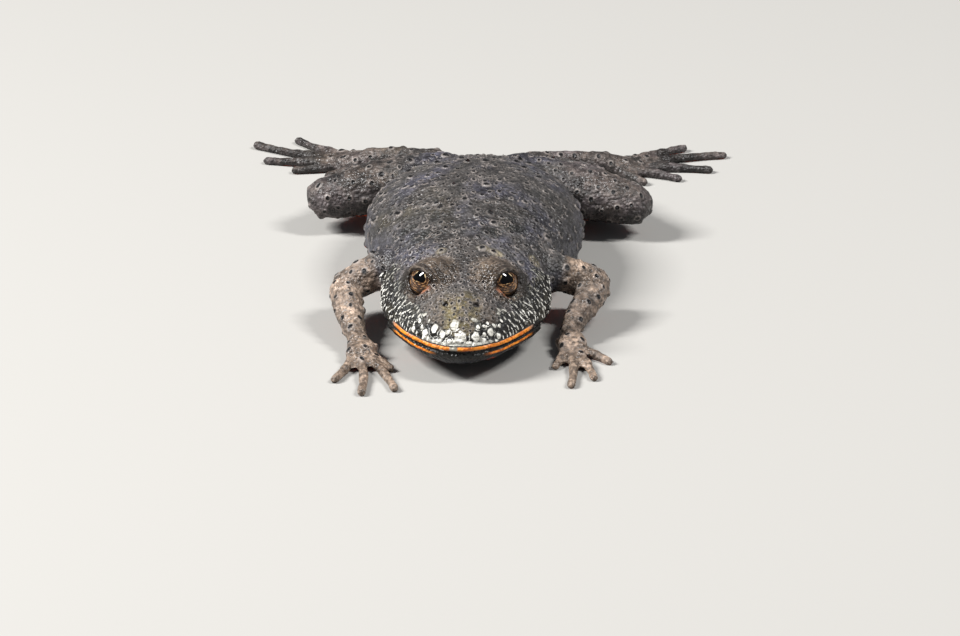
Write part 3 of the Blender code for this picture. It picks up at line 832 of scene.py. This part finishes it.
def skin_marks(tree):
    """What the skin's material reads, by name: places and marks, and the distances round the eyes."""
    at = {"where": add(tree, {}, "ShaderNodeTexCoord", out="Object")}
    for number, name in enumerate(("x", "y", "z")):
        at[name] = add(tree, {0: at["where"]}, "ShaderNodeSeparateXYZ", out=number)

    # Aside is the distance from the middle of the body.
    at["aside"] = add(tree, {0: at["x"]}, **SIZE)
    for name in ("dorsal", "cheek", "lips", "arm", "leg", "upward", "nostril", "blotch", "pale"):
        at[name] = add(tree, {}, "ShaderNodeAttribute", out="Fac", attribute_name=name)
    for name in ("wart", "fleck"):
        spot = add(tree, {}, "ShaderNodeAttribute", out="Vector", attribute_name=name)
        at[name] = add(tree, {0: spot}, **LENGTH)
    lids = add(tree, {}, "ShaderNodeAttribute", out="Vector", attribute_name="lids")
    at["eye_gap"] = add(tree, {0: lids}, **LENGTH)
    for number, name in enumerate(("to_nose", "lid_up", "lid_out")):
        at[name] = add(tree, {0: lids}, "ShaderNodeSeparateXYZ", out=number)

    # Granules every 0.34 mm and a soft grain of 0.45 mm.
    at["granules"] = add(tree, {"Vector": at["where"], "Scale": 1 / (0.34 * MM)}, "ShaderNodeTexVoronoi")
    at["grain"] = patches(tree, at["where"], 0.45, 0.34, 0.66, detail=4.0, seed=44.0)

    # Uneven folds on the lids that run round the eye, one every 0.3 mm.
    uneven = add(tree, {"Vector": at["where"], "Scale": 1 / (0.9 * MM)}, "ShaderNodeTexNoise")
    uneven = add(tree, {0: uneven, 1: 7.0}, **TIMES)
    turns = add(tree, {0: at["lid_out"], 1: 21.0, 2: uneven}, **TIMES_PLUS)
    folds = add(tree, {0: add(tree, {0: turns}, **WAVE), 1: 0.1, 2: 0.9}, **STEP)
    folds = add(tree, {0: folds, 1: add(tree, {0: at["eye_gap"], 1: 3.0, 2: 2.5}, **STEP)}, **TIMES)
    at["folds"] = add(tree, {0: folds, 1: add(tree, {0: at["lid_out"], 1: 0.1, 2: 0.6}, **STEP)}, **TIMES)
    return at


def upper_side(tree, at, taupe):
    """The colour of the upper side, without the cheeks: taupe back, grey and tan head, browner limbs, and
    painted light on the arms.
    """
    where, aside = at["where"], at["aside"]

    # Back: taupe, clouded with violet grey and olive, with dark blotches and a few pale warts.
    clouds = patches(tree, where, 5.0, 0.42, 0.66)
    back = add(tree, {0: clouds, 6: taupe, 7: colour("#34333b")}, **MIX)
    olive = patches(tree, where, 6.0, 0.54, 0.72, seed=3.0)
    back = add(tree, {0: olive, 6: back, 7: colour("#363127")}, **MIX)
    flank = add(tree, {0: at["upward"], 1: 0.75, 2: 0.2, 3: 0.0, 4: 0.5}, **STEP)
    back = add(tree, {0: flank, 6: back, 7: colour("#41414a")}, **MIX)
    stains = add(tree, {0: patches(tree, where, 2.6, 0.56, 0.66, seed=6.0), 1: 0.6}, **TIMES)
    dark = add(tree, {0: add(tree, {0: stains, 1: at["blotch"]}, **LARGER), 1: 0.8}, **TIMES)
    back = add(tree, {0: dark, 6: back, 7: colour("#181814")}, **MIX)
    pale = add(tree, {0: at["pale"], 1: 0.7}, **TIMES)
    back = add(tree, {0: pale, 6: back, 7: colour("#746b55")}, **MIX)

    # Head: grey crown, tan brows, an olive bridge to the nose and a dark streak on each side of the snout.
    head = add(tree, {0: at["y"], 1: -10.5 * MM, 2: -13.0 * MM}, **STEP)
    crown = add(tree, {0: aside, 1: 2.6 * MM, 2: 1.2 * MM, 3: 0.0, 4: 0.7}, **STEP)
    brow = add(tree, {0: at["eye_gap"], 1: 3.5, 2: 2.4, 3: 0.0, 4: 0.85}, **STEP)
    snout = add(tree, {0: at["y"], 1: -17.2 * MM, 2: -19.6 * MM}, **STEP)
    bridge = add(tree, {0: aside, 1: 2.2 * MM, 2: 0.6 * MM, 3: 0.0, 4: 0.9}, **STEP)
    bridge = add(tree, {0: bridge, 1: patches(tree, where, 0.9, 0.35, 0.6, seed=52.0)}, **TIMES)
    streak = add(tree, {0: add(tree, {0: aside, 1: -3.5 * MM}, **PLUS)}, **SIZE)
    streak = add(tree, {0: streak, 1: 0.55 * MM, 2: 0.2 * MM, 3: 0.0, 4: 0.7}, **STEP)

    # Limbs: browner, with dark mottling; the arms are painted paler and less mottled, painted light
    # standing in for sunlight on them.
    mottled = add(tree, {0: add(tree, {0: at["arm"], 1: 0.6}, **TIMES), 1: at["leg"]}, **LARGER)
    bars = patches(tree, where, 3.0, 0.5, 0.57, detail=4.0, seed=9.0)
    bars = add(tree, {0: bars, 1: mottled}, **TIMES)
    for part, share, code in (
        (head, crown, "#2c2927"),
        (brow, 1.0, "#483d32"),
        (snout, 0.8, "#4c4339"),
        (snout, bridge, "#635833"),
        (snout, streak, "#1f1c16"),
        # The arms' paler brown is painted light.
        (at["arm"], 0.8, "#8b7868"),
        (at["leg"], 0.5, "#51463f"),
        (bars, 0.75, "#1e1c1a"),
    ):
        back = add(tree, {0: add(tree, {0: part, 1: share}, **TIMES), 6: back, 7: colour(code)}, **MIX)

    # Soft light and dark at two sizes, and granules with painted shade in the gaps between them, and small
    # dark spots.
    cloudy = patches(tree, where, 1.7, 0.3, 0.7, seed=40.0)
    back = add(tree, {0: 0.45, 6: back, 7: cloudy}, blend_type="OVERLAY", **MIX)
    back = add(tree, {0: 0.5, 6: back, 7: at["grain"]}, blend_type="OVERLAY", **MIX)
    between = add(tree, {0: at["granules"], 1: 0.3, 2: 0.8, 3: 0.0, 4: 0.35}, **STEP)
    specks_and_gap_shade = add(tree, {0: patches(tree, where, 0.32, 0.5, 0.68, seed=50.0), 1: 0.6}, **TIMES)
    specks_and_gap_shade = add(tree, {0: between, 1: specks_and_gap_shade}, **LARGER)
    back = add(tree, {0: specks_and_gap_shade, 6: back, 7: colour("#171412")}, **MIX)

    # Warts: a pale ring, stronger on some.
    strength = patches(tree, where, 1.6, 0.4, 0.65, seed=15.0)
    strength = add(tree, {0: strength, 1: 0.0, 2: 1.0, 3: 0.3, 4: 1.0}, **STEP)
    ring = add(tree, {0: at["wart"], 1: 0.9, 2: 0.55, 3: 0.0, 4: 0.52}, **STEP)
    ring = add(tree, {0: ring, 1: strength}, **TIMES)
    return add(tree, {0: ring, 6: back, 7: colour("#8a817b")}, **MIX)


def cheeks_on(tree, at, skin):
    """The skin with black cheeks and their white grains, the black pores, and painted shade in the folds by
    the eyes.
    """
    where = at["where"]
    ragged = add(tree, {"Vector": where, "Scale": 1 / (0.5 * MM)}, "ShaderNodeTexNoise")
    cheek = add(tree, {0: at["cheek"], 1: add(tree, {0: ragged, 1: 0.9}, **TIMES)}, **PLUS)
    cheek = add(tree, {0: cheek, 1: 0.8, 2: 1.1}, **STEP)
    greyer = patches(tree, where, 0.9, 0.48, 0.66, seed=12.0)
    black = add(tree, {0: greyer, 6: colour("#0e0d0b"), 7: colour("#2e2c24")}, **MIX)
    skin = add(tree, {0: cheek, 6: skin, 7: black}, **MIX)

    # The grains are white low on the cheek and greyer high on it.
    white = add(tree, {0: at["grain"], 6: colour("#b4b1a7"), 7: colour("#f1efe6")}, **MIX)
    high = add(tree, {0: at["z"], 1: 4.7 * MM, 2: 6.1 * MM, 3: 0.0, 4: 0.72}, **STEP)
    white = add(tree, {0: high, 6: white, 7: colour("#625e53")}, **MIX)
    edge = add(tree, {0: at["fleck"], 1: add(tree, {0: at["grain"], 1: 0.4}, **TIMES)}, **PLUS)
    skin = add(tree, {0: add(tree, {0: edge, 1: 1.08, 2: 0.78}, **STEP), 6: skin, 7: white}, **MIX)
    pore = add(tree, {0: at["wart"], 1: 0.52, 2: 0.36}, **STEP)
    skin = add(tree, {0: pore, 6: skin, 7: colour("#0d0b0b")}, **MIX)

    # Painted shade in a fold behind the eye, and in the fine folds round it.
    behind = add(tree, {0: at["to_nose"], 1: -0.9, 2: -1.5}, **STEP)
    behind = add(tree, {0: behind, 1: add(tree, {0: at["lid_up"], 1: 0.9, 2: 0.4}, **STEP)}, **TIMES)
    close = add(tree, {0: at["eye_gap"], 1: 3.3, 2: 2.7, 3: 0.0, 4: 0.8}, **STEP)
    behind = add(tree, {0: behind, 1: close}, **TIMES)
    skin = add(tree, {0: behind, 6: skin, 7: colour("#14110e")}, **MIX)
    folds = add(tree, {0: at["folds"], 1: 0.6}, **TIMES)
    return add(tree, {0: folds, 6: skin, 7: colour("#1a140f")}, **MIX)


def lips_on(tree, at, skin):
    """The skin with the lips: pale edge, black line, broken orange upper lip, slit with painted shade under
    the upper lip, and thin lower lip.
    """
    middle = add(tree, {0: at["aside"], 1: 3.2 * MM, 2: 2.0 * MM}, **STEP)
    corner = add(tree, {0: at["aside"], 1: 6.4 * MM, 2: 5.8 * MM}, **STEP)
    sides = add(tree, {0: at["aside"], 1: 2.0 * MM, 2: 3.4 * MM}, **STEP)
    sides = add(tree, {0: sides, 1: corner}, **TIMES)

    # The orange is worn away at one place beside the middle.
    unworn = add(tree, {0: add(tree, {0: at["x"], 1: 0.55 * MM}, **PLUS)}, **SIZE)
    unworn = add(tree, {0: unworn, 1: 0.25 * MM, 2: 0.45 * MM}, **STEP)
    unworn = add(tree, {0: unworn, 1: corner}, **TIMES)
    shade = patches(tree, at["where"], 0.6, 0.35, 0.65, seed=17.0)
    orange = add(tree, {0: shade, 6: colour("#c4651a"), 7: colour("#df8726")}, **MIX)

    # Each band: its lower and upper edge over the slit, its paint, and how much of it shows.
    for low, high, paint, share in (
        (0.66, 0.92, colour("#cdccc2"), middle),
        (0.56, 0.66, colour("#11100d"), corner),
        (0.06, 0.56, colour("#a8a294"), corner),
        (0.06, 0.56, orange, unworn),
        # The black band is the slit and the painted shade under the upper lip.
        (-0.95, 0.06, colour("#100f0c"), 1.0),
        (-0.48, -0.24, orange, sides),
    ):
        over = add(tree, {0: at["lips"], 1: low - 0.03, 2: low + 0.03}, **STEP)
        under = add(tree, {0: at["lips"], 1: high + 0.03, 2: high - 0.03}, **STEP)
        band = add(tree, {0: add(tree, {0: over, 1: under}, **TIMES), 1: share}, **TIMES)
        skin = add(tree, {0: band, 6: skin, 7: paint}, **MIX)
    return skin


def underside_on(tree, at, skin):
    """The skin with its underside: blue-black with orange-red blotches and fine white dots."""
    fire = patches(tree, at["where"], 6.5, 0.5, 0.53, detail=2.0, seed=20.0)
    belly = add(tree, {0: fire, 6: colour("#15171c"), 7: colour("#d2481a")}, **MIX)
    dots = add(tree, {"Vector": at["where"], "Scale": 1 / (1.3 * MM)}, "ShaderNodeTexVoronoi")
    dots = add(tree, {0: dots, 1: 0.2, 2: 0.14}, **STEP)
    belly = add(tree, {0: dots, 6: belly, 7: colour("#cfd0cc")}, **MIX)
    under = add(tree, {0: at["dorsal"], 1: 0.75, 2: 0.35}, **STEP)
    return add(tree, {0: under, 6: skin, 7: belly}, **MIX)


def holes_and_lids_on(tree, at, skin):
    """The skin with painted shade in the nostrils, the dark edge of the lids and the orange inner corner of
    the eye.
    """
    # Painted shade in the pits of the nostrils.
    nostril_shade = add(tree, {0: at["nostril"], 1: 0.34, 2: 0.22}, **STEP)
    skin = add(tree, {0: nostril_shade, 6: skin, 7: colour("#120e12")}, **MIX)
    rim = add(tree, {0: at["eye_gap"], 1: 2.16, 2: 2.0}, **STEP)
    rim = add(tree, {0: rim, 1: add(tree, {0: at["lid_out"], 1: 0.9, 2: 1.3}, **STEP)}, **TIMES)
    skin = add(tree, {0: rim, 6: skin, 7: colour("#1f1610")}, **MIX)
    corner = add(tree, {0: at["to_nose"], 1: 0.3, 2: 0.7}, **STEP)
    corner = add(tree, {0: corner, 1: add(tree, {0: at["lid_up"], 1: 0.3, 2: -0.3}, **STEP)}, **TIMES)
    corner = add(tree, {0: corner, 1: add(tree, {0: at["eye_gap"], 1: 2.64, 2: 2.2}, **STEP)}, **TIMES)
    uneven = add(tree, {0: patches(tree, at["where"], 0.4, 0.35, 0.6, seed=54.0), 1: 0.75}, **TIMES)
    corner = add(tree, {0: corner, 1: uneven}, **TIMES)
    return add(tree, {0: corner, 6: skin, 7: colour("#9c6549")}, **MIX)


def skin_relief(tree, at):
    """Bumps: granules with a fine grain between them, pores sunk in, flecks raised, folds pressed in."""
    fine = {"Vector": at["where"], "Scale": 1 / (0.14 * MM), "Detail": 2.0}
    fine = add(tree, fine, "ShaderNodeTexNoise")
    relief = add(tree, {0: at["granules"], 1: 0.8, 2: 0.1}, **STEP)
    for part in (
        add(tree, {0: fine, 1: 0.7}, **TIMES),
        add(tree, {0: at["wart"], 1: 0.1, 2: 0.4, 3: -1.2, 4: 0.0}, **STEP),
        add(tree, {0: at["fleck"], 1: 1.1, 2: 0.4, 3: 0.0, 4: 0.6}, **STEP),
        add(tree, {0: at["folds"], 1: -0.9}, **TIMES),
    ):
        relief = add(tree, {0: relief, 1: part}, **PLUS)
    return add(tree, {"Height": relief, "Distance": 0.09 * MM, "Strength": 1.0}, "ShaderNodeBump")


def skin_wetness(tree, at):
    """Roughness: patches of wetter and drier skin, wettest over the inner side of the eyes."""
    wet = patches(tree, at["where"], 2.2, 0.35, 0.65, seed=30.0)
    wet = add(tree, {0: wet, 1: 0.0, 2: 1.0, 3: 0.32, 4: 0.55}, **STEP)
    inner = add(tree, {0: at["to_nose"], 1: 0.2, 2: 0.9}, **STEP)
    inner = add(tree, {0: inner, 1: add(tree, {0: at["lid_up"], 1: 1.5, 2: 0.9}, **STEP)}, **TIMES)
    inner = add(tree, {0: inner, 1: add(tree, {0: at["eye_gap"], 1: 3.4, 2: 2.9}, **STEP)}, **TIMES)
    return add(tree, {0: inner, 1: -0.2, 2: wet}, **TIMES_PLUS)


def toad_skin(taupe):
    """Damp granular toad skin: horny pores on pale tubercles, half wet, so it glints in small points."""
    made, tree, shader = new_material("damp granular toad skin")
    at = skin_marks(tree)
    skin = upper_side(tree, at, taupe)
    for paint_on in (cheeks_on, lips_on, underside_on, holes_and_lids_on):
        skin = paint_on(tree, at, skin)
    tree.links.new(skin, shader.inputs["Base Color"])
    tree.links.new(skin_relief(tree, at), shader.inputs["Normal"])
    tree.links.new(skin_wetness(tree, at), shader.inputs["Roughness"])
    shader.inputs["IOR"].default_value = 1.4
    return made


def wet_eye():
    """A toad's eye: bronze iris flecked with gold round a black pupil, sharp glints on the wet cornea."""
    made, tree, shader = new_material("wet eye")
    look = add(tree, {}, "ShaderNodeAttribute", out="Vector", attribute_name="look")
    a = add(tree, {0: add(tree, {0: look}, "ShaderNodeSeparateXYZ", out=0), 1: 0.82}, **TIMES)
    b = add(tree, {0: look}, "ShaderNodeSeparateXYZ", out=1)
    flat = add(tree, {0: a, 1: b, 2: 0.0}, "ShaderNodeCombineXYZ")
    radius = add(tree, {0: flat}, **LENGTH)

    # The pupil is a rounded triangle: out is the distance from its edge.
    angle = add(tree, {0: b, 1: a}, "ShaderNodeMath", operation="ARCTAN2")
    corner = add(tree, {0: add(tree, {0: angle, 1: 3.0}, **TIMES)}, **WAVE)
    edge = add(tree, {0: corner, 1: -0.085, 2: 0.5}, **TIMES_PLUS)
    out = add(tree, {0: radius, 1: edge}, "ShaderNodeMath", operation="SUBTRACT")

    # Iris: dark bronze with arcs of gold round the pupil, most of them low down, and painted shade at the
    # outer edge, under the lids.
    around = add(tree, {0: flat}, "ShaderNodeVectorMath", operation="NORMALIZE")
    rings = add(tree, {0: radius, 1: 4.0}, **TIMES)
    rings = add(tree, {0: 0.0, 1: 0.0, 2: rings}, "ShaderNodeCombineXYZ")
    arcs = add(tree, {0: around, 1: rings}, "ShaderNodeVectorMath", operation="ADD")
    arcs = add(tree, {"Vector": arcs, "Scale": 2.2, "Detail": 3.0}, "ShaderNodeTexNoise")
    gold = add(tree, {0: arcs, 1: 0.5, 2: 0.62}, **STEP)
    low_down = add(tree, {0: b, 1: 0.6, 2: -0.6, 3: 0.25, 4: 1.0}, **STEP)
    gold = add(tree, {0: gold, 1: low_down}, **TIMES)
    iris = add(tree, {0: gold, 6: colour("#2b1b12"), 7: colour("#96704a")}, **MIX)
    lid_shade = add(tree, {0: radius, 1: 1.1, 2: 1.5}, **STEP)
    iris = add(tree, {0: lid_shade, 6: iris, 7: colour("#150e0a")}, **MIX)

    # A broken pale line round the pupil, and the pupil.
    line = add(tree, {0: add(tree, {0: out, 1: -0.06}, **PLUS)}, **SIZE)
    line = add(tree, {0: line, 1: 0.05, 2: 0.01}, **STEP)
    line = add(tree, {0: line, 1: add(tree, {0: corner, 1: 0.0, 2: 0.9}, **STEP)}, **TIMES)
    broken = add(tree, {"Vector": flat, "Scale": 2.4}, "ShaderNodeTexNoise")
    line = add(tree, {0: line, 1: add(tree, {0: broken, 1: 0.42, 2: 0.6}, **STEP)}, **TIMES)
    iris = add(tree, {0: line, 6: iris, 7: colour("#c9b48c")}, **MIX)
    pupil = add(tree, {0: out, 1: 0.05, 2: 0.0}, **STEP)
    iris = add(tree, {0: pupil, 6: iris, 7: colour("#010101")}, **MIX)
    tree.links.new(iris, shader.inputs["Base Color"])
    shader.inputs["Roughness"].default_value = 0.8
    shader.inputs["Specular IOR Level"].default_value = 0.0
    shader.inputs["Coat Weight"].default_value = 1.0
    shader.inputs["Coat IOR"].default_value = 1.38
    shader.inputs["Coat Roughness"].default_value = 0.02
    return made


def pale_floor():
    """Matt floor paint, even and without shine."""
    made, _, shader = new_material("pale matt floor paint")
    shader.inputs["Base Color"].default_value = colour("#8c8a86")
    shader.inputs["Roughness"].default_value = 0.9
    return made


def area_light(name, place, width, height, power):
    """A soft light turned to the toad."""
    data = bpy.data.lights.new(name, "AREA")
    data.shape = "RECTANGLE"
    data.size = width
    data.size_y = height
    data.energy = power
    made = bpy.data.objects.new(name, data)
    made.location = place
    made.rotation_euler = (LIT - Vector(place)).to_track_quat("-Z", "Y").to_euler()
    bpy.context.scene.collection.objects.link(made)


def studio_light(scene):
    """A dim, even, slightly blue light from all round, and the lamps."""
    world = bpy.data.worlds.new("studio")
    world.use_nodes = True
    world.node_tree.nodes["Background"].inputs[0].default_value = (0.86, 0.9, 1.0, 1.0)
    world.node_tree.nodes["Background"].inputs[1].default_value = 0.22
    scene.world = world
    for light in LIGHTS:
        area_light(*light)


def set_camera(scene, settings):
    """A camera with the photo's angle and view, so that the toad sits in the picture as it does there."""
    a, e = settings.azimuth, settings.elevation
    back = Vector((math.sin(a) * math.cos(e), -math.cos(a) * math.cos(e), math.sin(e)))
    right = Vector((math.cos(a), math.sin(a), 0.0))
    up = back.cross(right).normalized()
    data = bpy.data.cameras.new("camera")
    data.lens = settings.lens
    data.sensor_width = 36.0
    data.clip_start = 0.01
    camera = bpy.data.objects.new("camera", data)
    aim = Vector([part * MM for part in MOUTH]) + right * AIM[0] * MM + up * AIM[1] * MM
    camera.location = aim + back * settings.distance
    camera.rotation_euler = Matrix((right, up, back)).transposed().to_euler()
    scene.collection.objects.link(camera)
    scene.camera = camera


class TOAD_OT_skin(bpy.types.Operator):
    """Make the one skin that covers all of the flesh"""

    bl_idname = "toad.skin"
    bl_label = "Skin"

    def execute(self, context):
        settings = context.scene.toad_skin
        skin = closed_flesh(settings.swell, settings.grain)
        mark_skin(skin, *shape_skin(skin, settings.most_faces))
        skin.data.shade_smooth()
        skin.data.materials.append(toad_skin(colour(settings.back)))
        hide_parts(*FLESH)
        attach(skin, "root")
        return {"FINISHED"}


class TOAD_OT_eyes(bpy.types.Operator):
    """Make the two wet eyes"""

    bl_idname = "toad.eyes"
    bl_label = "Eyes"

    def execute(self, context):
        material = wet_eye()
        for name in EYES:
            low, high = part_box(name)
            radius = (high[0] - low[0]) / 2 + context.scene.toad_eye.bulge
            look = eye_look(name)
            side = look.cross(Vector((0, 0, 1))).normalized()
            rise = side.cross(look).normalized()
            bm = bmesh.new()
            bmesh.ops.create_uvsphere(bm, u_segments=64, v_segments=40, radius=radius)
            turn = Matrix((side, rise, look)).transposed().to_4x4()
            bmesh.ops.transform(bm, matrix=turn, verts=bm.verts)
            bmesh.ops.translate(bm, vec=eye_centre(name) * MM, verts=bm.verts)
            eye = object_of(name.replace("eye", "wet_eye"), bm)
            points = points_and_normals(eye.data)[0] - np.array(eye_centre(name))
            put_attribute(eye.data, "look", points @ np.array([side, rise, look]).T)
            eye.data.shade_smooth()
            eye.data.materials.append(material)
            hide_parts(name)
            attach(eye, "root")
        return {"FINISHED"}


class TOAD_OT_stage(bpy.types.Operator):
    """Set the floor, the soft light and the camera"""

    bl_idname = "toad.stage"
    bl_label = "Stage"

    def execute(self, context):
        bm = bmesh.new()
        bmesh.ops.create_grid(bm, x_segments=1, y_segments=1, size=3.0)
        floor = object_of("floor", bm)
        floor.data.materials.append(pale_floor())
        studio_light(context.scene)
        set_camera(context.scene, context.scene.toad_stage)

        # Colours are shown as they are, with no film curve over them.
        context.scene.view_settings.view_transform = "Standard"
        return {"FINISHED"}


class TOAD_PT_panel(bpy.types.Panel):
    """The toad's pieces, in the sidebar"""

    bl_idname = "TOAD_PT_panel"
    bl_label = "Toad"
    bl_space_type = "VIEW_3D"
    bl_region_type = "UI"
    bl_category = "Toad"

    def draw(self, context):
        layout = self.layout
        for settings in (context.scene.toad_skin, context.scene.toad_eye, context.scene.toad_stage):
            for name in settings.__annotations__:
                layout.prop(settings, name)
        for operator in OPERATORS:
            layout.operator(operator.bl_idname)


SETTINGS = {"toad_skin": ToadSkinSettings, "toad_eye": ToadEyeSettings, "toad_stage": ToadStageSettings}
OPERATORS = (TOAD_OT_skin, TOAD_OT_eyes, TOAD_OT_stage)


def register():
    """Make the settings, operators and panel known."""
    for settings in SETTINGS.values():
        bpy.utils.register_class(settings)
    for name, settings in SETTINGS.items():
        setattr(bpy.types.Scene, name, bpy.props.PointerProperty(type=settings))
    for operator in OPERATORS:
        bpy.utils.register_class(operator)
    bpy.utils.register_class(TOAD_PT_panel)


def unregister():
    """Take them away again."""
    bpy.utils.unregister_class(TOAD_PT_panel)
    for operator in reversed(OPERATORS):
        bpy.utils.unregister_class(operator)
    for name, settings in SETTINGS.items():
        delattr(bpy.types.Scene, name)
        bpy.utils.unregister_class(settings)


def main():
    """Dress the toad and set the stage."""
    register()
    bpy.ops.toad.skin()
    bpy.ops.toad.eyes()
    bpy.ops.toad.stage()


if __name__ == "__main__":
    main()
